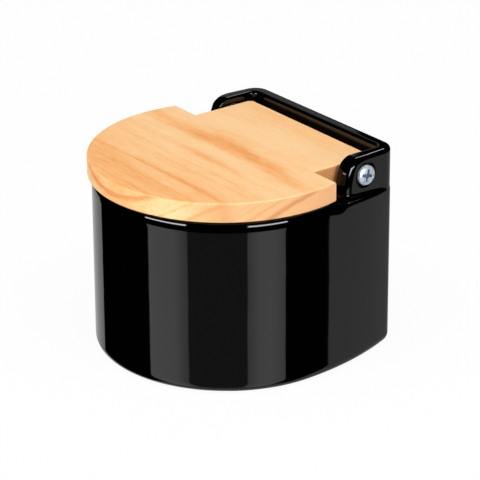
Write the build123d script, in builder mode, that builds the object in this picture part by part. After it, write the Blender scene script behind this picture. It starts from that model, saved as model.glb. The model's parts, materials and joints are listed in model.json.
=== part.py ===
from build123d import *
from build123d.topology import SkipClean
import os
from math import asin, atan2, degrees, hypot, sqrt

# Salt box: a glazed ceramic pot whose wooden lid turns on two screws.
# Millimetres.  X runs across the box, -Y is its rounded front and +Z is up.
# The origin is on the surface that the pot stands on, midway between the
# front of the lid and the back of the pot.

# ------------------------------------------------------------ pot
pot_width = 119.0  # across the rounded front
pot_depth = 115.0  # rounded front to flat back
rim_height = 81.0
wall = 6.0
floor_thickness = 6.0
cove_radius = 6.0  # inside, where the floor meets the wall
back_corner_radius = 7.0
glaze_radius = 1.5  # softened edges of the mouth, the ears and the backboard
outer_rim_radius = 2.4
base_edge_radius = 4.5
foot_ring_width = 7.0  # unglazed ring that the pot stands on
foot_recess = 1.2

# ------------------------------------------------------------ ears and backboard
ledge_width = 8.9  # outside each ear, at the widest part of the pot
hinge_rise = 12.9  # ears and backboard above the rim
ear_thickness = 6.0
ear_reach = 9.7  # foot of an ear, ahead of the pivot
ear_lean = 2.4  # how far the front of an ear leans back
ear_nose_radius = 7.0
ear_root_radius = 3.0
board_thickness = 6.4
mouth_corner_radius = 3.0
throat_lead = 6.0  # the mouth is down to its narrow width this far ahead of an ear
throat_run = 9.0  # and narrows over this length
throat_radius = 9.0

# ------------------------------------------------------------ lid
lid_thickness = 9.0
lid_overhang = 1.0  # radius of the lid's round front, beyond the pot's
lid_lead = 1.0  # centre of that radius, ahead of the pot's
shoulder_setback = 22.1  # shoulders of the lid, ahead of the pivot
tongue_side_gap = 1.3  # tongue to the inner face of an ear
tongue_tail = 9.6  # tongue behind the pivot
tongue_corner_radius = 3.0
shoulder_corner_radius = 1.6
notch_radius = 1.2
lid_arris = 0.9

# ------------------------------------------------------------ screws and bushes
pivot_to_back = 18.8  # pivot axis to the flat back of the pot
shank_diameter = 4.2
thread_root_diameter = 2.9
thread_pitch = 1.5
thread_ridge = 1.0  # width of a ridge at its foot
thread_bury = 0.5  # how far a ridge's foot reaches into the root
thread_grip = 18.0  # screw inside the lid
point_length = 4.0
plain_in_lid = 1.0  # smooth shank that enters the lid
head_diameter = 9.0
head_height = 2.2
head_rim_height = 0.8  # straight side of the pan head
cross_width = 1.3  # slots of the cross recess
cross_span = 5.0
cross_depth = 1.7
cross_taper = 12.0
bush_wall = 0.9
bush_flange_diameter = 9.0
shank_clearance = 0.08  # radial, screw shank in its bush
bush_clearance = 0.05  # radial, bush in the ear
bush_inset = 0.3  # outer end of a bush, below the ear's face
head_gap = 0.2  # screw head to the ear
flange_gap = 0.3  # bush flange to the tongue
pilot_gap = 0.5  # pilot hole beyond the screw's point

# ------------------------------------------------------------ worked out
front_radius = pot_width / 2
lid_radius = front_radius + lid_overhang
back_y = (pot_depth + lid_overhang + lid_lead) / 2
front_y = back_y - pot_depth
arc_y = front_y + front_radius
lid_arc_y = arc_y - lid_lead
top_z = rim_height + hinge_rise
ear_outer = front_radius - ledge_width
ear_inner = ear_outer - ear_thickness
board_inner = back_y - board_thickness
pivot_y = back_y - pivot_to_back
pivot_z = rim_height + lid_thickness / 2
ear_front = pivot_y - ear_reach
nose_y = ear_front + ear_lean
# each side is one arc, tangent to the front and to the rounded back corner
corner_x = ear_outer - back_corner_radius
corner_y = back_y - back_corner_radius
side_in = front_radius - corner_x
side_run = corner_y - arc_y
side_radius = (side_in**2 + side_run**2 - back_corner_radius**2) / (
    2 * (side_in - back_corner_radius)
)
merge_scale = back_corner_radius / (side_radius - back_corner_radius)
merge_x = corner_x + (side_radius - side_in) * merge_scale
merge_y = corner_y + side_run * merge_scale
cavity_radius = front_radius - wall
throat_y = ear_front - throat_lead
mouth_end_y = throat_y - throat_run
mouth_end_x = sqrt(cavity_radius**2 - (mouth_end_y - arc_y) ** 2)
tongue_half = ear_inner - tongue_side_gap
shoulder_y = pivot_y - shoulder_setback
shoulder_half = sqrt(lid_radius**2 - (shoulder_y - lid_arc_y) ** 2)
tongue_rear = pivot_y + tongue_tail
shank_radius = shank_diameter / 2
thread_root = thread_root_diameter / 2
bush_bore = shank_radius + shank_clearance
bush_radius = bush_bore + bush_wall
ear_hole = bush_radius + bush_clearance
flange_thickness = tongue_side_gap - flange_gap
head_seat = ear_outer + head_gap
screw_tip = tongue_half - thread_grip
size_tolerance = 0.01  # for picking edges by their place

os.makedirs("parts", exist_ok=True)


def on_rim(shape):
    return abs(shape.center().Z - rim_height) < size_tolerance


def on_side(shape, x):
    return abs(abs(shape.center().X) - x) < size_tolerance


# ------------------------------------------------------------ ceramic pot
with BuildPart() as whole_pot:
    # body: round front, sides that close in a little, flat back
    with BuildSketch() as body_plan:
        with BuildLine():
            front = ThreePointArc((-front_radius, arc_y), (0, front_y), (front_radius, arc_y))
            right_side = TangentArc(front @ 1, (merge_x, merge_y), tangent=(0, 1))
            left_side = TangentArc(front @ 0, (-merge_x, merge_y), tangent=(0, 1))
            right_corner = TangentArc(right_side @ 1, (corner_x, back_y), tangent=right_side % 1)
            left_corner = TangentArc(left_side @ 1, (-corner_x, back_y), tangent=left_side % 1)
            Line(right_corner @ 1, left_corner @ 1)
        make_face()
    extrude(amount=rim_height)
    fillet(whole_pot.faces().sort_by(Axis.Z)[0].edges(), base_edge_radius)
    fillet(whole_pot.faces().sort_by(Axis.Z)[-1].edges(), outer_rim_radius)

    # block that becomes the two ears and the backboard, down to where the
    # rounding of the rim begins
    with BuildSketch(Plane.XY.offset(rim_height - outer_rim_radius)) as hinge_plan:
        with Locations((0, back_y)):
            Rectangle(2 * ear_outer, back_y - ear_front, align=(Align.CENTER, Align.MAX))
        fillet(hinge_plan.vertices().group_by(Axis.Y)[-1], back_corner_radius)
    extrude(amount=outer_rim_radius + hinge_rise)

    # front of the ears: leans back and turns over in a round nose
    with BuildSketch(Plane.YZ) as ear_front_cut:
        with Locations((ear_front, rim_height)):
            Rectangle(
                2 * (back_y - ear_front),
                hinge_rise,
                align=(Align.CENTER, Align.MIN),
            )
        with BuildLine():
            ear_side = Polyline(
                (ear_front, rim_height),
                (nose_y, top_z),
                (2 * back_y, top_z),
                (2 * back_y, rim_height),
                close=True,
            )
            nose = ear_side.vertices().group_by(Axis.Y)[-1].sort_by(Axis.X)[0]
            fillet(nose, ear_nose_radius)
        make_face(mode=Mode.SUBTRACT)
    extrude(amount=ear_outer, both=True, mode=Mode.SUBTRACT)

    # mouth and cavity: round in front, narrowing to run back between the ears
    with BuildSketch(Plane.XY.offset(top_z)) as mouth:
        with BuildLine():
            ThreePointArc(
                (-mouth_end_x, mouth_end_y),
                (0, arc_y - cavity_radius),
                (mouth_end_x, mouth_end_y),
            )
            Polyline(
                (mouth_end_x, mouth_end_y),
                (ear_inner, throat_y),
                (ear_inner, board_inner),
                (-ear_inner, board_inner),
                (-ear_inner, throat_y),
                (-mouth_end_x, mouth_end_y),
            )
        make_face()
        fillet(mouth.vertices().group_by(Axis.Y)[-1], mouth_corner_radius)
        fillet(mouth.vertices().group_by(Axis.Y)[1], throat_radius)
        fillet(mouth.vertices().group_by(Axis.Y)[0], throat_radius)
    extrude(amount=floor_thickness - top_z, mode=Mode.SUBTRACT)
    cavity_floor = whole_pot.faces().filter_by(
        lambda f: abs(f.center().Z - floor_thickness) < size_tolerance
    )
    fillet(cavity_floor.edges(), cove_radius)

    # concave root where each ear stands on the rim
    ear_roots = whole_pot.edges().filter_by(
        lambda e: on_rim(e) and abs(e.center().Y - ear_front) < size_tolerance
    )
    fillet(ear_roots, ear_root_radius)

    # glaze-softened edges: ears, backboard and the inside of the rim in one run
    top_edges = whole_pot.faces().sort_by(Axis.Z)[-1].edges()
    ear_front_edges = whole_pot.edges().filter_by(
        lambda e: rim_height + size_tolerance < e.center().Z < top_z - size_tolerance
        and e.center().Y < nose_y + ear_nose_radius
        and (on_side(e, ear_inner) or on_side(e, ear_outer))
    )
    fillet((top_edges + ear_front_edges).sort_by(Axis.X)[::-1], glaze_radius)

    # foot ring
    with BuildSketch() as foot_recess_plan:
        add(body_plan.sketch)
        offset(amount=-(base_edge_radius + foot_ring_width), kind=Kind.ARC)
    extrude(amount=foot_recess, mode=Mode.SUBTRACT)

    # holes for the bushes
    with BuildSketch(Plane.YZ) as bush_holes:
        with Locations((pivot_y, pivot_z)):
            Circle(ear_hole)
    extrude(amount=front_radius, both=True, mode=Mode.SUBTRACT)

# The right half, mirrored, is the left half too, so both ears end alike on the
# rim.  Their faces stay in halves, because merging them spoils the solid.
right_half = whole_pot.part.split(Plane.YZ, keep=Keep.TOP)
with SkipClean(), BuildPart() as ceramic_pot:
    add(right_half)
    mirror(right_half, about=Plane.YZ)

# ------------------------------------------------------------ wooden lid
with BuildPart() as wooden_lid:
    with BuildSketch(Plane.XY.offset(rim_height)) as lid_plan:
        with BuildLine():
            ThreePointArc(
                (-shoulder_half, shoulder_y),
                (0, lid_arc_y - lid_radius),
                (shoulder_half, shoulder_y),
            )
            Polyline(
                (shoulder_half, shoulder_y),
                (tongue_half, shoulder_y),
                (tongue_half, tongue_rear),
                (-tongue_half, tongue_rear),
                (-tongue_half, shoulder_y),
                (-shoulder_half, shoulder_y),
            )
        make_face()
        lid_corners = lid_plan.vertices().group_by(Axis.Y)
        shoulders = lid_corners[0].sort_by(Axis.X)
        fillet(lid_corners[-1], tongue_corner_radius)
        fillet([shoulders[0], shoulders[-1]], shoulder_corner_radius)
        fillet(shoulders[1:-1], notch_radius)
    extrude(amount=lid_thickness)
    lid_faces = wooden_lid.faces().sort_by(Axis.Z)
    fillet(lid_faces[0].edges() + lid_faces[-1].edges(), lid_arris)
    # blind holes in the sides of the tongue: a pilot for each screw's thread,
    # opened out where the smooth shank enters
    for side in (1, -1):
        with BuildSketch(Plane.YZ.offset(side * tongue_half)):
            with Locations((pivot_y, pivot_z)):
                Circle(thread_root)
        extrude(amount=-side * (thread_grip + pilot_gap), mode=Mode.SUBTRACT)
        with BuildSketch(Plane.YZ.offset(side * tongue_half)):
            with Locations((pivot_y, pivot_z)):
                Circle(shank_radius)
        extrude(amount=-side * plain_in_lid, mode=Mode.SUBTRACT)

# ------------------------------------------------------------ screws
# profiles lie in a level plane through the pivot axis: X along it, Y outward
pivot_plane = Plane(origin=(0, pivot_y, pivot_z))
pivot_axis = Axis((0, pivot_y, pivot_z), (1, 0, 0))
shank_end = tongue_half - plain_in_lid
thread_end = screw_tip + point_length
thread_turns = int((shank_end - thread_end) / thread_pitch)
head_top = head_seat + head_height
# the head's edge is a quarter round between its straight side and its flat crown
crown_radius = head_diameter / 2 - (head_height - head_rim_height)

with BuildPart() as right_screw:
    with BuildSketch(pivot_plane):
        with BuildLine():
            crown = Line((head_top, 0), (head_top, crown_radius))
            head_side = Line(
                (head_seat + head_rim_height, head_diameter / 2),
                (head_seat, head_diameter / 2),
            )
            TangentArc(crown @ 1, head_side @ 0, tangent=(0, 1))
            Polyline(
                head_side @ 1,
                (head_seat, shank_radius),
                (shank_end, shank_radius),
                (shank_end, thread_root),
                (thread_end, thread_root),
                (screw_tip, 0),
                (head_top, 0),
            )
        make_face()
    revolve(axis=pivot_axis)
    # thread, one ridge for each turn
    for turn in range(thread_turns):
        ridge_x = shank_end - (turn + 0.5) * thread_pitch
        with BuildSketch(pivot_plane):
            with BuildLine():
                Polyline(
                    (ridge_x - thread_ridge / 2, thread_root - thread_bury),
                    (ridge_x - thread_ridge / 2, thread_root),
                    (ridge_x, shank_radius),
                    (ridge_x + thread_ridge / 2, thread_root),
                    (ridge_x + thread_ridge / 2, thread_root - thread_bury),
                    close=True,
                )
            make_face()
        revolve(axis=pivot_axis)
    # cross recess
    with BuildSketch(Plane(origin=(head_top, pivot_y, pivot_z), z_dir=(1, 0, 0))):
        Rectangle(cross_span, cross_width)
        Rectangle(cross_width, cross_span)
    extrude(amount=-cross_depth, taper=cross_taper, mode=Mode.SUBTRACT)

with BuildPart() as left_screw:
    add(right_screw.part)
    mirror(about=Plane.YZ, mode=Mode.REPLACE)

# ------------------------------------------------------------ bushes
with BuildPart() as right_bush:
    with BuildSketch(pivot_plane):
        with BuildLine():
            Polyline(
                (ear_outer - bush_inset, bush_bore),
                (ear_outer - bush_inset, bush_radius),
                (ear_inner, bush_radius),
                (ear_inner, bush_flange_diameter / 2),
                (ear_inner - flange_thickness, bush_flange_diameter / 2),
                (ear_inner - flange_thickness, bush_bore),
                close=True,
            )
        make_face()
    revolve(axis=pivot_axis)

with BuildPart() as left_bush:
    add(right_bush.part)
    mirror(about=Plane.YZ, mode=Mode.REPLACE)

# ------------------------------------------------------------ names and files
ceramic_pot.part.label = "ceramic_pot"
wooden_lid.part.label = "wooden_lid"
right_screw.part.label = "right_screw"
left_screw.part.label = "left_screw"
right_bush.part.label = "right_bush"
left_bush.part.label = "left_bush"

for piece in (ceramic_pot, wooden_lid, right_screw, left_screw, right_bush, left_bush):
    export_step(piece.part, f"parts/{piece.part.label}.step")

# The lid stops where its top face leans on the front edge of the backboard.
edge_reach = hypot(board_inner - pivot_y, top_z - pivot_z)
edge_angle = atan2(top_z - pivot_z, board_inner - pivot_y)
lean_angle = 180 - degrees(edge_angle + asin(lid_thickness / 2 / edge_reach))
print(f"lid leans on the backboard at about {lean_angle:.1f} degrees")
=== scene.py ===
import json
import math

import bpy
import numpy as np
from mathutils import Euler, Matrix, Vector


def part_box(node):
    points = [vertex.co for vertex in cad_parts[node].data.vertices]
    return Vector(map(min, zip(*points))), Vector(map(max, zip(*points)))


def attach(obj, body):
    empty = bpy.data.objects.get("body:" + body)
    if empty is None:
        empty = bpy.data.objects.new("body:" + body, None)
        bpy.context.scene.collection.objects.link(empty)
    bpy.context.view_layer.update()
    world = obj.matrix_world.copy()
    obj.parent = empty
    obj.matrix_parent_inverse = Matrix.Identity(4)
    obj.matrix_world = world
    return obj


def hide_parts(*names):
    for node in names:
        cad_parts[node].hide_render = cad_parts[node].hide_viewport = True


# Salt box: black glazed pot, pine lid and two zinc screws.  Shapes are worked
# out in millimetres and put into Blender in metres.
MM = 0.001

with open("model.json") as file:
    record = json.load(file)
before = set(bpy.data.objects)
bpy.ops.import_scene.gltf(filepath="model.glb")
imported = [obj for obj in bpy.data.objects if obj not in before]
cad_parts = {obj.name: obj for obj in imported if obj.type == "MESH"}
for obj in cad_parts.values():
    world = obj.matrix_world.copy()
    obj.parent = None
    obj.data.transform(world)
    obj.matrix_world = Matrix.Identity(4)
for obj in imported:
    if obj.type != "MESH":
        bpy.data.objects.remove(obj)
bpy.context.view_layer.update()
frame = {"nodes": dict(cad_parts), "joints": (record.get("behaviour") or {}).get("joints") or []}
nodes = frame["nodes"]


def node_box(name):
    """Lowest and highest corner of a CAD node, in millimetres."""
    low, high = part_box(name)
    return Vector(low) / MM, Vector(high) / MM


# ------------------------------------------------------------ sizes, from the frame
pot_low, pot_high = node_box("ceramic_pot")
lid_low = node_box("wooden_lid")[0]
screw_low, screw_high = node_box("right_screw")
bush_low, bush_high = node_box("right_bush")
hinge = Vector(frame["joints"][0]["pos_m"]) / MM

head_height = 2.2  # of a screw
screw_seat = screw_high.x - head_height
front_radius = pot_high.x
arc_y = pot_low.y + front_radius
back_y = pot_high.y
top_z = pot_high.z
rim_z = lid_low.z
bush_hole = 3.13  # radius
flange_thickness = 1.0
bush_inset = 0.3  # a bush ends this far inside its ear's outer face
ear_inner = bush_low.x + flange_thickness
ear_outer = bush_high.x + bush_inset

# ------------------------------------------------------------ pot
wall = 6.0
floor_thickness = 6.0
cove_radius = 6.0
back_corner_radius = 7.0
base_edge_radius = 4.5
foot_ring_width = 7.0
foot_recess = 1.2
foot_edge_radius = 0.5
rim_outer_radius = 2.7
rim_taper_start = 6.3  # the wall draws in over this height below the rim
rim_taper_radius = 18.0
lip_radius = 1.4  # edges of the mouth
ear_edge_radius = 2.1
ear_reach = 12.3  # foot of the right ear, ahead of the hinge
left_ear_reach = 10.3  # the hand-finished left ear is a little shorter
ear_bow_z = 79.0  # above this an ear's front bows back
ear_bow = 0.0185
ear_front_radius = 4.0  # upright outer edge of an ear's front
ear_nose_radius = 4.0  # top edge of an ear at its front
ear_nose_run = 8.0  # the top's edge is back to its own radius this far behind
ear_root_radius = 1.1
least_root_radius = 0.01
ear_foot_depth = 10.2  # the ears go down this far below the rim, into the body
ear_toe = 0.084  # the ears' outer faces draw in towards the back
ear_toe_y = 45.5  # where such a face crosses the ear's plain width
corner_tuck = 0.12  # keeps the pot's back corner just inside the ear's
head_seat_radius = 5.1
head_seat_gap = 0.15  # screw head to its seat on the ear
head_seat_edge_radius = 0.8
top_sag = 0.009  # the fired top runs down a little towards the left
top_lift = 0.4
board_thickness = 6.4
mouth_corner_radius = 3.0
throat_narrow_y = 24.0
throat_wide_y = 15.0
throat_softness = 2.0
throat_cap = 6.0  # the round part of the mouth ends this far into its throat
ledge_drop = 3.4  # outside the ears the rim lies this much lower
ledge_start = 11.0
ledge_end = 27.0
ledge_edge_start = 15.0  # the rim's edge tightens from here
ledge_edge_end = 29.0
ledge_edge_radius = 1.3
ledge_fall = 0.07  # the ledge falls by this much for each millimetre towards the back
hole_edge_radius = 0.2
hole_overrun = 4.0  # a bush's hole is cut from this far inside its ear


def both(a, b, radius):
    """Field of what a and b share, with the edge between them rounded."""
    inner = np.minimum(np.maximum(a, b) + radius, 0)
    return inner + np.hypot(np.maximum(a + radius, 0), np.maximum(b + radius, 0)) - radius


def either(a, b, radius):
    """Field of a and b joined, with the corner between them filled to a radius."""
    return -both(-a, -b, radius)


def smooth_step(value, start, end):
    """Smooth rise from 0 to 1 as the value goes from start to end."""
    share = np.clip((value - start) / (end - start), 0, 1)
    return share * share * (3 - 2 * share)


def ear_face(y):
    """How far from the middle the outer face of an ear lies."""
    return ear_outer + ear_toe * (ear_toe_y - y)


def pot_outline(across, y):
    """Distance outside the pot's outline, seen from above, for one half of it."""
    corner_y = back_y - back_corner_radius
    corner_x = ear_face(corner_y) - back_corner_radius - corner_tuck
    side_in = front_radius - corner_x
    side_run = corner_y - arc_y
    side_radius = (side_in**2 + side_run**2 - back_corner_radius**2) / (
        2 * (side_in - back_corner_radius)
    )
    side_x = front_radius - side_radius
    front = np.hypot(across, y - arc_y) - front_radius
    side = np.hypot(across - side_x, y - arc_y) - side_radius
    corner = np.hypot(across - corner_x, y - corner_y) - back_corner_radius
    past_side = (y - corner_y) * (corner_x - side_x) - (across - corner_x) * side_run
    in_corner = (across > corner_x) & (past_side > 0)
    flat = np.maximum(side, y - back_y)
    return np.where(y < arc_y, front, np.where(in_corner, corner, flat))


def mouth_outline(across, y):
    """Distance outside the mouth, seen from above: round, with a throat at the back."""
    radius = front_radius - wall
    wide_x = math.sqrt(radius**2 - (throat_wide_y - arc_y) ** 2)
    turn = Vector((throat_narrow_y - throat_wide_y, wide_x - ear_inner)).normalized()
    slant = (across - wide_x) * turn.x + (y - throat_wide_y) * turn.y
    front = both(np.hypot(across, y - arc_y) - radius, slant, throat_softness)
    front = np.maximum(front, y - throat_narrow_y - throat_cap)
    throat = both(across - ear_inner, y - back_y + board_thickness, mouth_corner_radius)
    return either(front, np.maximum(throat, arc_y - y), throat_softness)


def pot_field(x, y, z):
    """The whole pot: below zero inside it, above zero outside, in millimetres."""
    across = np.abs(x)
    face = ear_face(y)
    ear_front = hinge.y - np.where(x > 0, ear_reach, left_ear_reach)
    ear_plan = both(across - face, y - back_y, back_corner_radius)
    outline = np.minimum(pot_outline(across, y), np.maximum(ear_plan, ear_front - y))

    # beside the ears the rim drops to a ledge with a tighter edge
    rim = rim_z - ledge_drop * smooth_step(y, ledge_start, ledge_end)
    rim = rim - ledge_fall * np.maximum(y - ledge_end, 0)
    edge_share = smooth_step(y, ledge_edge_start, ledge_edge_end)
    edge = rim_outer_radius + (ledge_edge_radius - rim_outer_radius) * edge_share
    rise = np.maximum(z - rim + rim_taper_start, 0)
    taper = (1 - edge_share) * rise**2 / (2 * rim_taper_radius)
    body = both(both(outline + taper, z - rim, edge), -z, base_edge_radius)

    top = top_z + top_lift + top_sag * (x - ear_outer)
    bow = np.maximum(z - ear_bow_z, 0)
    lean = (ear_front + ear_bow * bow**2 - y) / np.hypot(1, 2 * ear_bow * bow)
    ears = both(ear_plan, lean, ear_front_radius)
    nose_y = ear_front + ear_bow * (top_z - ear_bow_z) ** 2
    nose_share = 1 - smooth_step(y, nose_y, nose_y + ear_nose_run)
    top_edge = ear_edge_radius + (ear_nose_radius - ear_edge_radius) * nose_share
    ears = both(ears, z - top, top_edge)
    ears = np.maximum(ears, rim_z - ear_foot_depth - z)
    # the root between ears and body fades out where their walls run together
    ledge = np.maximum(-pot_outline(face, y), 0)
    root = ear_root_radius * (1 - np.exp(-ledge / ear_root_radius)) + least_root_radius
    solid = either(body, ears, root)
    from_hinge = np.hypot(y - hinge.y, z - hinge.z)
    seat = np.maximum(from_hinge - head_seat_radius, screw_seat - head_seat_gap - across)
    solid = both(solid, -seat, head_seat_edge_radius)

    cavity = both(mouth_outline(across, y), floor_thickness - z, cove_radius)
    solid = both(solid, -cavity, lip_radius)
    inside_ring = outline + base_edge_radius + foot_ring_width
    recess = both(inside_ring, z - foot_recess, foot_edge_radius)
    solid = both(solid, -recess, foot_edge_radius)
    hole = np.maximum(from_hinge - bush_hole, ear_inner - hole_overrun - across)
    return both(solid, -hole, hole_edge_radius)


# ------------------------------------------------------------ surface of a field
SETTLE_ROUNDS = 8
SETTLE_STRIDE = 0.3
SETTLE_REACH = 0.02
LEAST_SLOPE_SQUARED = 0.05  # keeps a step short where a field is nearly flat
TINY = 1e-9


def gradient(field, points, reach):
    """Slope of a field at each point, taken over the given reach to both sides."""
    slopes = []
    for axis in range(3):
        ahead = points.copy()
        behind = points.copy()
        ahead[:, axis] += reach
        behind[:, axis] -= reach
        slopes.append((field(*ahead.T) - field(*behind.T)) / (2 * reach))
    return np.stack(slopes, axis=1)


def settle(field, points, normal_reach):
    """Moves points onto the field's surface and returns them with its normals."""
    for _ in range(SETTLE_ROUNDS):
        slope = gradient(field, points, SETTLE_REACH)
        squared = np.maximum((slope**2).sum(axis=1, keepdims=True), LEAST_SLOPE_SQUARED)
        move = field(*points.T)[:, None] * slope / squared
        length = np.linalg.norm(move, axis=1, keepdims=True)
        points = points - move * np.minimum(1, SETTLE_STRIDE / np.maximum(length, TINY))
    slope = gradient(field, points, normal_reach)
    return points, slope / np.maximum(np.linalg.norm(slope, axis=1, keepdims=True), TINY)


def grid_line(stops, steps):
    """Places along an axis, from stop to stop with about the given step between them."""
    places = []
    for start, end, step in zip(stops, stops[1:], steps):
        count = max(1, round((end - start) / step))
        places.extend(np.linspace(start, end, count, endpoint=False))
    return np.array(places + [stops[-1]])


def skin(field, lines, normal_reach):
    """Points, quads and normals over the surface of a field, on a grid of lines."""
    values = field(*np.meshgrid(*lines, indexing="ij"))
    inside = values < 0
    corners = np.array([(i, j, k) for i in (0, 1) for j in (0, 1) for k in (0, 1)])
    cells = [n - 1 for n in inside.shape]
    count = np.zeros(cells, int)
    for i, j, k in corners:
        count += inside[i : i + cells[0], j : j + cells[1], k : k + cells[2]]
    cut = np.argwhere((count > 0) & (count < 8))
    number = np.full(cells, -1)
    number[tuple(cut.T)] = np.arange(len(cut))

    # each cut cell gets one point, amid the places where its edges are crossed
    total = np.zeros((len(cut), 3))
    crossings = np.zeros(len(cut))
    for start in corners:
        for axis in range(3):
            if start[axis]:
                continue
            end = start.copy()
            end[axis] = 1
            a = values[tuple((cut + start).T)]
            b = values[tuple((cut + end).T)]
            crossed = (a < 0) != (b < 0)
            share = np.where(crossed, a / np.where(crossed, a - b, 1), 0)
            place = start + share[:, None] * (end - start)
            total += place * crossed[:, None]
            crossings += crossed
    steps = cut + total / crossings[:, None]
    columns = [np.interp(steps[:, i], np.arange(len(lines[i])), lines[i]) for i in range(3)]
    points, normals = settle(field, np.stack(columns, axis=1), normal_reach)

    # each crossed grid edge gets a quad through the four cells round it
    quads = []
    for axis in range(3):
        u, v = (axis + 1) % 3, (axis + 2) % 3
        first = np.moveaxis(inside, (axis, u, v), (0, 1, 2))
        cell = np.moveaxis(number, (axis, u, v), (0, 1, 2))
        starts = np.argwhere(first[:-1] != first[1:])
        i, j, k = starts.T
        ring = np.stack(
            [cell[i, j - 1, k - 1], cell[i, j, k - 1], cell[i, j, k], cell[i, j - 1, k]],
            axis=1,
        )
        outward = first[i, j, k]
        quads.append(np.where(outward[:, None], ring, ring[:, ::-1]))
    return points, np.concatenate(quads), normals


def make_piece(name, points, quads, normals):
    """A smooth mesh object from points in millimetres."""
    mesh = bpy.data.meshes.new(name)
    mesh.from_pydata((points * MM).tolist(), [], quads.tolist())
    mesh.polygons.foreach_set("use_smooth", np.ones(len(quads), bool))
    mesh.normals_split_custom_set_from_vertices(normals.tolist())
    mesh.update()
    piece = bpy.data.objects.new(name, mesh)
    bpy.context.collection.objects.link(piece)
    return piece


# ------------------------------------------------------------ screws
head_radius = 4.5
head_crown_drop = 0.85  # from the middle of the head down to its edge
head_crown_power = 2.6  # the crown is flat in the middle and falls off near the edge
head_edge_radius = 0.4
head_foot_radius = 0.2
shank_radius = 2.1
shank_overlap = 0.5  # into the head
neck_radius = 0.3
core_radius = 1.45
thread_pitch = 1.5
thread_ridge = 0.33  # half the foot of a ridge, in turns
thread_start = bush_low.x - 1.3
thread_overlap = 1.0  # into the shank
thread_root_radius = 0.15
thread_evenness = 0.7  # brings the slope of the ridges' field near 1
point_length = 4.0
cross_reach = 2.85
cross_half_width = 0.68
cross_middle_radius = 1.45
cross_depth = 1.7
cross_edge_radius = 0.12
cross_draft = 0.3  # the slots narrow by this much for each millimetre of depth
cross_turn = math.radians(-14)


def screw_field(x, y, z):
    """The right screw: pan head with a cross recess, shank, thread and point."""
    across, up = y - hinge.y, z - hinge.z
    reach = np.hypot(across, up)
    crown = x - screw_high.x + head_crown_drop * (reach / head_radius) ** head_crown_power
    head = both(reach - head_radius, crown, head_edge_radius)
    head = both(head, screw_seat - x, head_foot_radius)
    past_shank = np.maximum(thread_start - x, x - screw_seat - shank_overlap)
    shank = np.maximum(reach - shank_radius, past_shank)
    turn = x / thread_pitch - np.arctan2(up, across) / (2 * math.pi)
    ridge = np.clip(1 - np.abs(turn - np.floor(turn) - 0.5) / thread_ridge, 0, 1)
    depth = shank_radius - core_radius
    taper = np.clip((x - screw_low.x) / point_length, 0, 1)
    thread = (reach - (core_radius + depth * ridge) * taper) * thread_evenness
    thread = np.maximum(thread, x - thread_start - thread_overlap)
    solid = either(either(head, shank, neck_radius), thread, thread_root_radius)

    side = across * math.cos(cross_turn) + up * math.sin(cross_turn)
    rise = up * math.cos(cross_turn) - across * math.sin(cross_turn)
    deep = np.maximum(screw_high.x - x, 0)
    half = cross_half_width - 0.5 * cross_draft * deep
    length = cross_reach - cross_draft * deep
    level = np.maximum(np.abs(side) - length, np.abs(rise) - half)
    upright = np.maximum(np.abs(rise) - length, np.abs(side) - half)
    middle = reach - cross_middle_radius + cross_draft * deep
    cross = np.minimum(np.minimum(level, upright), middle)
    cross = np.maximum(cross, screw_high.x - cross_depth - x)
    return both(solid, -cross, cross_edge_radius)


# ------------------------------------------------------------ materials
# colours as a screen shows them, in steps of 0 to 255
GLAZE_BLACK = (1, 1, 1.5)
BARE_CLAY = (214, 204, 190)
PINE_PALE = (254, 210, 157)
PINE_LIGHT = (252, 197, 137)
PINE_AMBER = (248, 178, 110)
PINE_DARK = (236, 152, 82)
PINE_PORE = (205, 140, 84)
PINE_END_LIGHT = (232, 177, 125)
PINE_END_DARK = (206, 142, 86)
ZINC_DULL = (176, 192, 204)
ZINC_BRIGHT = (232, 237, 238)
# painted shade at the bottom of a screw's cross recess
RECESS_SHADE_BLUE = (104, 142, 178)
NYLON_DARK = (34, 34, 35)
NYLON_LIGHT = (44, 44, 45)

# sizes of the spots of noise along X, Y and Z
GLAZE_WAVES = (17, 17, 23)
RING_DRIFTS = (58, 26, 26)
RING_WAVES = (26, 5, 5)
WOOD_CLOUDS = (34, 7, 7)
WOOD_FLECKS = (6, 0.9, 0.9)
WOOD_FIBRES = (13, 0.42, 0.42)
WOOD_PORES = (4.5, 0.3, 0.3)
END_DOTS = (0.6, 0.4, 0.4)
ZINC_MOTTLES = (0.9, 0.9, 0.9)
ZINC_DENTS = (0.8, 0.8, 0.8)
NYLON_GRAIN = (0.6, 0.6, 0.6)

# ramps: where each starts and ends, and its values there where they aren't 0 and 1
BARE_FOOT = (0.25, 0.1)  # over the height above the table
FOOT_ROUGHNESS = BARE_FOOT + (0.05, 0.85)
UPRIGHT = (0.3, 0.9, 1.0, 0.0)  # over how level the surface is
RINGS_ALONG = (12, 58, 1.0, 0.45)  # over the distance from the figure's middle
RINGS_BEHIND = (16, 30, 1.0, 0.3)  # over Y
LATE_WOOD = (84, 114, 0.08, 0.6)  # over the distance from the heart
LATE_WOOD_EDGE = (106, 117, 0.04, 0.62)
END_DOT_TONE = (0.4, 0.8, 0.0, 0.6)
# painted shade on the tongue's sides, which sit beside the ears
TONGUE_SHADE = (52, 48, 0.0, 0.8)  # over the distance from the lid's middle line
END_FACING = (0.45, 0.95)  # over how much the surface faces along X
PORE_SHARE = (0.69, 0.8, 0.0, 0.35)
ZINC_TONE = (0.3, 0.72)
ZINC_ROUGHNESS = (0.3, 0.7, 0.42, 0.3)
# how deep in the cross recess its painted shade sets in
RECESS_SHADE_DEPTH = (0.35, 1.1)  # over the depth below the top of the head
NYLON_ROUGHNESS = (0.3, 0.7, 0.4, 0.5)

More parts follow.
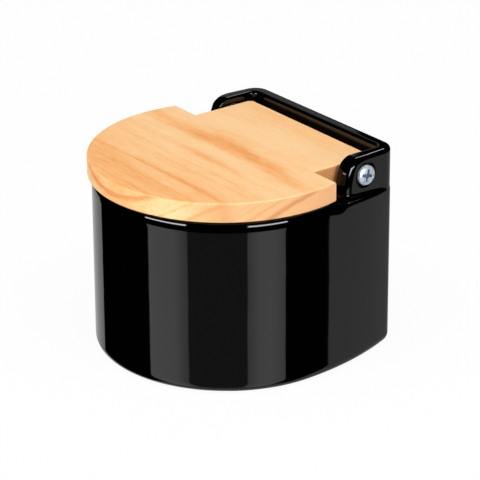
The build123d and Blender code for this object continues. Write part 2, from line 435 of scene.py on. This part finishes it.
# how far each noise moves what it acts on, and two single values
RING_DRIFT = 3.0
RING_WAVE = 0.9
CLOUD_TONE = 0.7
FIBRE_TONE = 0.75
FLECK_TONE = 0.55
EDGE_RING_GAIN = 1.7  # how much stronger the rings are on the board's upright edge
# painted shade fills the cross recess this far from the screw's axis
RECESS_SHADE_RADIUS = 3.2  # the recess is blue this far from the screw's axis


def new_material(name):
    material = bpy.data.materials.new(name)
    material.use_nodes = True
    return material, material.node_tree.nodes, material.node_tree.links


def linear(red, green, blue):
    """Scene colour of a screen colour given in steps of 0 to 255."""
    screen = np.array((red, green, blue)) / 255
    bright = ((screen + 0.055) / 1.055) ** 2.4  # the sRGB curve
    return tuple(np.where(screen > 0.04045, bright, screen / 12.92).tolist()) + (1,)


class Weave:
    """Short ways to add shading nodes to one material."""

    def __init__(self, name):
        self.material, self.tree, self.links = new_material(name)
        self.shader = self.tree["Principled BSDF"]
        where = self.tree.new("ShaderNodeTexCoord")
        self.place = self.scaled(where.outputs["Object"], (1000, 1000, 1000))
        self.normal = where.outputs["Normal"]

    def put(self, value, socket):
        """A node's output or a plain value goes into a socket."""
        if isinstance(value, bpy.types.NodeSocket):
            self.links.new(value, socket)
        else:
            socket.default_value = value

    def math(self, kind, a, b=0.0, clamp=False):
        node = self.tree.new("ShaderNodeMath")
        node.operation = kind
        node.use_clamp = clamp
        self.put(a, node.inputs[0])
        self.put(b, node.inputs[1])
        return node.outputs[0]

    def vector_math(self, kind, vector, other=(0, 0, 0)):
        node = self.tree.new("ShaderNodeVectorMath")
        node.operation = kind
        self.put(vector, node.inputs[0])
        node.inputs[1].default_value = other
        return node

    def scaled(self, vector, factors):
        return self.vector_math("MULTIPLY", vector, factors).outputs[0]

    def moved(self, vector, step):
        return self.vector_math("ADD", vector, step).outputs[0]

    def length(self, vector):
        return self.vector_math("LENGTH", vector).outputs["Value"]

    def centred(self, noise, reach):
        """Noise from 0 to 1 turned into a value around 0 of about the given reach."""
        return self.math("MULTIPLY", self.math("SUBTRACT", noise, 0.5), reach)

    def part(self, vector, axis):
        node = self.tree.new("ShaderNodeSeparateXYZ")
        self.put(vector, node.inputs[0])
        return node.outputs[axis]

    def noise(self, grain, detail=2.0, roughness=0.5):
        """Noise from 0 to 1; grain is the size of its spots along each axis, in mm."""
        node = self.tree.new("ShaderNodeTexNoise")
        node.inputs["Scale"].default_value = 1.0
        node.inputs["Detail"].default_value = detail
        node.inputs["Roughness"].default_value = roughness
        spots = self.scaled(self.place, tuple(1 / size for size in grain))
        self.links.new(spots, node.inputs["Vector"])
        return node.outputs["Fac"]

    def ramp(self, value, start, end, low=0.0, high=1.0):
        """Smooth rise from low to high as the value goes from start to end."""
        node = self.tree.new("ShaderNodeMapRange")
        node.interpolation_type = "SMOOTHSTEP"
        self.put(value, node.inputs["Value"])
        node.inputs["From Min"].default_value = start
        node.inputs["From Max"].default_value = end
        node.inputs["To Min"].default_value = low
        node.inputs["To Max"].default_value = high
        return node.outputs["Result"]

    def mix(self, share, a, b):
        node = self.tree.new("ShaderNodeMix")
        node.data_type = "RGBA"
        self.put(share, node.inputs[0])
        self.put(a, node.inputs[6])
        self.put(b, node.inputs[7])
        return node.outputs[2]

    def bump(self, height, depth):
        """Relief on the surface; depth is in mm for a height of 1."""
        node = self.tree.new("ShaderNodeBump")
        node.inputs["Distance"].default_value = depth * MM
        self.links.new(height, node.inputs["Height"])
        self.links.new(node.outputs["Normal"], self.shader.inputs["Normal"])


def glaze_material():
    """Deep black gloss glaze, with a bare pale ring of clay that the pot stands on."""
    weave = Weave("black_glaze")
    height = weave.part(weave.place, "Z")
    bare = weave.ramp(height, *BARE_FOOT)
    colour = weave.mix(bare, linear(*GLAZE_BLACK), linear(*BARE_CLAY))
    weave.put(colour, weave.shader.inputs["Base Color"])
    weave.put(weave.ramp(height, *FOOT_ROUGHNESS), weave.shader.inputs["Roughness"])
    weave.shader.inputs["Specular IOR Level"].default_value = 0.4
    weave.bump(weave.noise(GLAZE_WAVES, detail=1.0), 0.05)
    return weave.material


# growth rings of the lid's board: radius, reach inwards, reach outwards, strength
RINGS = (
    (87.1, 1.8, 2.2, 0.72),
    (91.9, 1.6, 1.0, 0.32),
    (95.3, 0.8, 0.6, 0.2),
    (97.6, 0.7, 0.6, 0.14),
    (103.4, 1.7, 0.9, 0.36),
    (108.2, 0.9, 0.7, 0.18),
    (115.1, 1.7, 1.0, 0.24),
)
HEART_Y = 24.0
HEART_Z = 5.0
FIGURE_X = 2.0  # the rings show most here and fade towards both sides


def ring_radius(weave):
    """Distance from the board's heart, with the wandering of real growth rings."""
    from_heart = weave.moved(weave.place, (0, -HEART_Y, -HEART_Z))
    radius = weave.length(weave.scaled(from_heart, (0, 1, 1)))
    drift = weave.centred(weave.noise(RING_DRIFTS, detail=1.5), RING_DRIFT)
    wave = weave.centred(weave.noise(RING_WAVES, detail=2.0), RING_WAVE)
    return weave.math("ADD", weave.math("ADD", radius, drift), wave)


def ring_lines(weave, radius, upright):
    """Strength of the dark lines of late wood, stronger on the board's upright edge."""
    rings = 0.0
    for ring, inwards, outwards, strength in RINGS:
        rise = weave.ramp(radius, ring - inwards, ring)
        fall = weave.ramp(radius, ring, ring + outwards, strength, 0)
        rings = weave.math("ADD", weave.math("MULTIPLY", rise, fall), rings)
    along = weave.math("SUBTRACT", weave.part(weave.place, "X"), FIGURE_X)
    along = weave.ramp(weave.math("ABSOLUTE", along), *RINGS_ALONG)
    behind = weave.ramp(weave.part(weave.place, "Y"), *RINGS_BEHIND)
    rings = weave.math("MULTIPLY", rings, weave.math("MULTIPLY", along, behind))
    stronger = weave.math("ADD", weave.math("MULTIPLY", upright, EDGE_RING_GAIN), 1.0)
    return weave.math("MULTIPLY", rings, stronger)


def face_grain(weave, radius, rings, upright, fibre):
    """Colour of the wood along its grain."""
    late = weave.ramp(radius, *LATE_WOOD)
    late_edge = weave.ramp(radius, *LATE_WOOD_EDGE)
    gap = weave.math("MULTIPLY", weave.math("SUBTRACT", late_edge, late), upright)
    tone = weave.math("ADD", rings, weave.math("ADD", late, gap))
    for noise, reach in (
        (weave.noise(WOOD_CLOUDS, detail=2.0), CLOUD_TONE),
        (fibre, FIBRE_TONE),
        (weave.noise(WOOD_FLECKS, detail=1.0), FLECK_TONE),
    ):
        tone = weave.math("ADD", tone, weave.centred(noise, reach))
    ramp = weave.tree.new("ShaderNodeValToRGB")
    stops = ramp.color_ramp.elements
    stops[0].position = 0.0
    stops[0].color = linear(*PINE_PALE)
    stops[1].position = 1.0
    stops[1].color = linear(*PINE_DARK)
    stops.new(0.35).color = linear(*PINE_LIGHT)
    stops.new(0.68).color = linear(*PINE_AMBER)
    weave.links.new(tone, ramp.inputs["Fac"])
    return ramp.outputs["Color"]


def end_grain_with_shade(weave, rings):
    """Colour of the sides that the board was cut across, with painted shade on the tongue's
    sides beside the ears.
    """
    dots = weave.noise(END_DOTS, detail=2.0, roughness=0.7)
    tone = weave.math("ADD", rings, weave.ramp(dots, *END_DOT_TONE))
    from_middle = weave.math("ABSOLUTE", weave.part(weave.place, "X"))
    # painted shade: the end grain of the tongue's sides, beside the ears, is darker
    tone = weave.math("ADD", tone, weave.ramp(from_middle, *TONGUE_SHADE), clamp=True)
    return weave.mix(tone, linear(*PINE_END_LIGHT), linear(*PINE_END_DARK))


def wood_material():
    """Oiled pine board with its grain along X and its heart far below it."""
    weave = Weave("pine")
    level = weave.math("ABSOLUTE", weave.part(weave.normal, "Z"))
    upright = weave.ramp(level, *UPRIGHT)
    radius = ring_radius(weave)
    rings = ring_lines(weave, radius, upright)
    fibre = weave.noise(WOOD_FIBRES, detail=2.0, roughness=0.6)
    face = face_grain(weave, radius, rings, upright, fibre)
    facing = weave.math("ABSOLUTE", weave.part(weave.normal, "X"))
    colour = weave.mix(weave.ramp(facing, *END_FACING), face, end_grain_with_shade(weave, rings))
    pores = weave.ramp(weave.noise(WOOD_PORES, detail=1.0), *PORE_SHARE)
    colour = weave.mix(pores, colour, linear(*PINE_PORE))
    weave.put(colour, weave.shader.inputs["Base Color"])
    weave.shader.inputs["Roughness"].default_value = 0.52
    weave.shader.inputs["Specular IOR Level"].default_value = 0.35
    weave.bump(fibre, 0.035)
    return weave.material


def zinc_material():
    """Bright zinc plate with a faint blue cast, a little mottled, and painted shade in its cross
    recess.
    """
    weave = Weave("zinc")
    spots = weave.noise(ZINC_MOTTLES, detail=3.0, roughness=0.65)
    plate = weave.mix(weave.ramp(spots, *ZINC_TONE), linear(*ZINC_DULL), linear(*ZINC_BRIGHT))

    # painted shade: the cross recess turns darker and bluer towards its bottom
    outward = weave.math("ABSOLUTE", weave.part(weave.place, "X"))
    deep = weave.ramp(weave.math("SUBTRACT", screw_high.x, outward), *RECESS_SHADE_DEPTH)
    from_axis = weave.moved(weave.place, (0, -hinge.y, -hinge.z))
    from_axis = weave.length(weave.scaled(from_axis, (0, 1, 1)))
    blue = weave.math("MULTIPLY", deep, weave.math("LESS_THAN", from_axis, RECESS_SHADE_RADIUS))
    colour = weave.mix(blue, plate, linear(*RECESS_SHADE_BLUE))
    weave.put(colour, weave.shader.inputs["Base Color"])
    weave.shader.inputs["Metallic"].default_value = 0.55
    weave.put(weave.ramp(spots, *ZINC_ROUGHNESS), weave.shader.inputs["Roughness"])
    weave.bump(weave.noise(ZINC_DENTS, detail=2.0), 0.03)
    return weave.material


def nylon_material():
    """Black nylon with a fine matt skin."""
    weave = Weave("nylon")
    grain = weave.noise(NYLON_GRAIN, detail=2.0)
    colour = weave.mix(grain, linear(*NYLON_DARK), linear(*NYLON_LIGHT))
    weave.put(colour, weave.shader.inputs["Base Color"])
    weave.put(weave.ramp(grain, *NYLON_ROUGHNESS), weave.shader.inputs["Roughness"])
    return weave.material


# ------------------------------------------------------------ pieces
# The pot's grid is fine where it curves tightly and coarser on its plain walls.
# The stops between its ends are the places where its steps change.
pot_normal_reach = 0.35
grid_margin = 1.0
fine_step = 0.45
plain_step = 0.9
ears_from_x = 42.0
ears_from_y = 12.0
foot_top = 8.0
wall_top = 70.0
rim_bottom = 75.0
pot_height_steps = (0.7, 2.0, 1.0, 0.38)
pot_side = pot_high.x + grid_margin
pot_lines = (
    grid_line(
        (-pot_side, -ears_from_x, ears_from_x, pot_side),
        (fine_step, plain_step, fine_step),
    ),
    grid_line(
        (pot_low.y - grid_margin, ears_from_y, pot_high.y + grid_margin),
        (plain_step, fine_step),
    ),
    grid_line(
        (-grid_margin, foot_top, wall_top, rim_bottom, pot_high.z + 1.5 * grid_margin),
        pot_height_steps,
    ),
)
pot = make_piece("glazed_pot", *skin(pot_field, pot_lines, pot_normal_reach))
pot.data.materials.append(glaze_material())
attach(pot, "pot")
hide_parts("ceramic_pot")

screw_normal_reach = 0.04
screw_margin = 0.3
point_margin = 0.5
head_foot = screw_seat - 0.4
screw_length_steps = (0.3, 0.5, 0.12)
screw_step = 0.16
screw_side = head_radius + screw_margin
screw_lines = (
    grid_line(
        (screw_low.x - point_margin, thread_start, head_foot, screw_high.x + screw_margin),
        screw_length_steps,
    ),
    grid_line((hinge.y - screw_side, hinge.y + screw_side), (screw_step,)),
    grid_line((hinge.z - screw_side, hinge.z + screw_side), (screw_step,)),
)
screw_points, screw_quads, screw_normals = skin(screw_field, screw_lines, screw_normal_reach)
# the left screw is the right one turned half round about an upright line
half_turn = np.array((-1, -1, 1))
left_points = screw_points * half_turn + np.array((0, 2 * hinge.y, 0))
zinc = zinc_material()
for side, points, normals in (
    ("right", screw_points, screw_normals),
    ("left", left_points, screw_normals * half_turn),
):
    screw = make_piece(f"{side}_zinc_screw", points, screw_quads, normals)
    screw.data.materials.append(zinc)
    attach(screw, "lid")
    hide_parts(f"{side}_screw")


def dress(name, material):
    """Gives a CAD piece its material."""
    mesh = nodes[name].data
    mesh.materials.clear()
    mesh.materials.append(material)


dress("wooden_lid", wood_material())
nylon = nylon_material()
for side in ("right", "left"):
    dress(f"{side}_bush", nylon)

# ------------------------------------------------------------ camera
view_target = Vector((0, 10, 40))
view_azimuth = math.radians(53.18)
view_elevation = math.radians(23.706)
view_pitch = math.radians(23.493)
view_roll = math.radians(-0.291)
view_distance = 1238.7
sensor_width = 36.0
focal_pixels = 2773.0
picture_pixels = 480


def make_camera():
    """Looks down at the pot from its front right through a long lens."""
    data = bpy.data.cameras.new("camera")
    data.sensor_width = sensor_width
    data.lens = focal_pixels / picture_pixels * sensor_width
    data.clip_start = 0.05
    data.clip_end = 20
    camera = bpy.data.objects.new("camera", data)
    bpy.context.collection.objects.link(camera)
    towards_camera = Vector(
        (
            math.sin(view_azimuth) * math.cos(view_elevation),
            -math.cos(view_azimuth) * math.cos(view_elevation),
            math.sin(view_elevation),
        )
    )
    camera.location = (view_target + view_distance * towards_camera) * MM
    facing = Euler((math.pi / 2 - view_pitch, 0, view_azimuth)).to_matrix()
    camera.rotation_euler = (facing @ Euler((0, 0, view_roll)).to_matrix()).to_euler()
    bpy.context.scene.camera = camera


make_camera()


# ------------------------------------------------------------ floor, backdrop and light
# Azimuths go round the pot from its front towards its right, elevations rise
# from the horizon, both in degrees.
FLOOR_HALF = 4.0
FLOOR_GREY = 0.9
FLOOR_GLOW = 0.94  # share of plain white that the camera sees in the floor
PANEL_DISTANCE = 2.0
TENT_DISTANCE = 3.0
FILL = 0.24  # brightness of the dome that lights matt surfaces
LEFT_SIDE = (-16, 20)
RIGHT_SIDE = (70, 103)
TABLE = (-60, -15)
SIDE_GLOW = (0.6, 0.52, 0.46, 0.4, 0.37, 0.38, 0.38, 0.38, 0.38, 0.38, 0.38)


def direction(azimuth, elevation):
    """Unit vector from the pot towards a place in the studio."""
    turn, rise = math.radians(azimuth), math.radians(elevation)
    return Vector(
        (math.sin(turn) * math.cos(rise), -math.cos(turn) * math.cos(rise), math.sin(rise))
    )


def camera_or_mirror(tree, links):
    """1 for rays from the camera, and for those seen in gloss or through glass."""
    path = tree.new("ShaderNodeLightPath")
    total = path.outputs["Is Camera Ray"]
    for kind in ("Is Glossy Ray", "Is Transmission Ray"):
        add = tree.new("ShaderNodeMath")
        add.operation = "MAXIMUM"
        links.new(total, add.inputs[0])
        links.new(path.outputs[kind], add.inputs[1])
        total = add.outputs[0]
    return total


def make_floor():
    """Plain pale floor, near white to the camera with the pot's soft shadow on it."""
    mesh = bpy.data.meshes.new("floor")
    half = FLOOR_HALF
    corners = [(-half, -half, 0), (half, -half, 0), (half, half, 0), (-half, half, 0)]
    mesh.from_pydata(corners, [], [(0, 1, 2, 3)])
    floor = bpy.data.objects.new("floor", mesh)
    bpy.context.collection.objects.link(floor)
    material, tree, links = new_material("floor")
    paint = tree["Principled BSDF"]
    paint.inputs["Base Color"].default_value = (FLOOR_GREY, FLOOR_GREY, FLOOR_GREY, 1)
    paint.inputs["Specular IOR Level"].default_value = 0
    paint.inputs["Roughness"].default_value = 1
    glow = tree.new("ShaderNodeEmission")
    share = tree.new("ShaderNodeMath")
    share.operation = "MULTIPLY"
    share.inputs[1].default_value = FLOOR_GLOW
    mix = tree.new("ShaderNodeMixShader")
    links.new(camera_or_mirror(tree, links), share.inputs[0])
    links.new(share.outputs[0], mix.inputs["Fac"])
    links.new(paint.outputs["BSDF"], mix.inputs[1])
    links.new(glow.outputs["Emission"], mix.inputs[2])
    links.new(mix.outputs["Shader"], tree["Material Output"].inputs["Surface"])
    mesh.materials.append(material)
    floor.visible_glossy = False


def make_world():
    """White backdrop; the same dome lights matt surfaces softly."""
    world = bpy.data.worlds.new("studio")
    bpy.context.scene.world = world
    world.use_nodes = True
    tree, links = world.node_tree.nodes, world.node_tree.links
    fill = tree["Background"]
    fill.inputs["Color"].default_value = (1, 1, 1, 1)
    fill.inputs["Strength"].default_value = FILL
    backdrop = tree.new("ShaderNodeBackground")
    mix = tree.new("ShaderNodeMixShader")
    links.new(camera_or_mirror(tree, links), mix.inputs["Fac"])
    links.new(fill.outputs["Background"], mix.inputs[1])
    links.new(backdrop.outputs["Background"], mix.inputs[2])
    links.new(mix.outputs["Shader"], tree["World Output"].inputs["Surface"])


def card(name, azimuths, elevations, glow, distance=PANEL_DISTANCE, columns=24, rows=12):
    """A curved studio card that only gloss sees.  glow is its brightness at even steps
    across it, in the direction of growing azimuth."""
    mesh = bpy.data.meshes.new(name)
    places, levels, faces = [], [], []
    for row in range(rows + 1):
        elevation = elevations[0] + (elevations[1] - elevations[0]) * row / rows
        for column in range(columns + 1):
            share = column / columns
            azimuth = azimuths[0] + (azimuths[1] - azimuths[0]) * share
            places.append(direction(azimuth, elevation) * distance)
            levels.append(float(np.interp(share, np.linspace(0, 1, len(glow)), glow)))
    for row in range(rows):
        for column in range(columns):
            first = row * (columns + 1) + column
            faces.append((first, first + 1, first + columns + 2, first + columns + 1))
    mesh.from_pydata(places, [], faces)
    level = mesh.attributes.new("glow", "FLOAT", "POINT")
    level.data.foreach_set("value", levels)
    piece = bpy.data.objects.new(name, mesh)
    bpy.context.collection.objects.link(piece)
    material, tree, links = new_material(name)
    tree.remove(tree["Principled BSDF"])
    light = tree.new("ShaderNodeEmission")
    read = tree.new("ShaderNodeAttribute")
    read.attribute_name = "glow"
    links.new(read.outputs["Fac"], light.inputs["Strength"])
    links.new(light.outputs["Emission"], tree["Material Output"].inputs["Surface"])
    mesh.materials.append(material)
    piece.visible_camera = False
    piece.visible_diffuse = False
    piece.visible_transmission = False
    piece.visible_shadow = False


def softbox(name, azimuths, elevations, radiance):
    """A softbox that fills this part of the view from the pot and lights matt
    surfaces; cards stand for it in gloss."""
    azimuth = sum(azimuths) / 2
    elevation = sum(elevations) / 2
    width = 2 * PANEL_DISTANCE * math.tan(math.radians(azimuths[1] - azimuths[0]) / 2)
    height = 2 * PANEL_DISTANCE * math.tan(math.radians(elevations[1] - elevations[0]) / 2)
    data = bpy.data.lights.new(name, "AREA")
    data.shape = "RECTANGLE"
    data.size = width
    data.size_y = height
    data.energy = radiance * math.pi * width * height
    light = bpy.data.objects.new(name, data)
    bpy.context.collection.objects.link(light)
    light.location = direction(azimuth, elevation) * PANEL_DISTANCE
    light.rotation_euler = (-light.location).to_track_quat("-Z", "Y").to_euler()
    light.visible_camera = False
    light.visible_glossy = False


make_floor()
make_world()
softbox("left_softbox", LEFT_SIDE, (0, 18), 4.6)
softbox("right_softbox", RIGHT_SIDE, (0, 20), 4.8)
softbox("top_softbox", (10, 90), (50, 89), 2.95)
softbox("front_softbox", (0, 106), (10, 40), 0.2)
card("tent", (0, 360), (-90, 90), (0, 0), distance=TENT_DISTANCE, columns=48, rows=24)
card("left_front", LEFT_SIDE, (0, 13), (16, 16))
card("right_front", RIGHT_SIDE, (0, 14), (14, 14))
card("rear_strip", (188, 203), (46.5, 75), (10, 10))
card("rear_wall", (229, 252), (12, 36), (0.26, 0.26))
card("left_table", LEFT_SIDE, TABLE, (1.5, 1.5, 1.5, 0.85))
card("front_table", (20, 70), TABLE, (0.18, 0.18))
card("right_table", RIGHT_SIDE, TABLE, (0.95, 1.5, 1.5, 1.08))
card("side_table", (136.8, 226), TABLE, SIDE_GLOW, columns=40)
card("rear_table", (-127, -80), TABLE, (0.7, 0.7))
card("under", (0, 360), (-90, -60), (0.48, 0.48), columns=48)

bpy.context.scene.view_settings.view_transform = "Standard"
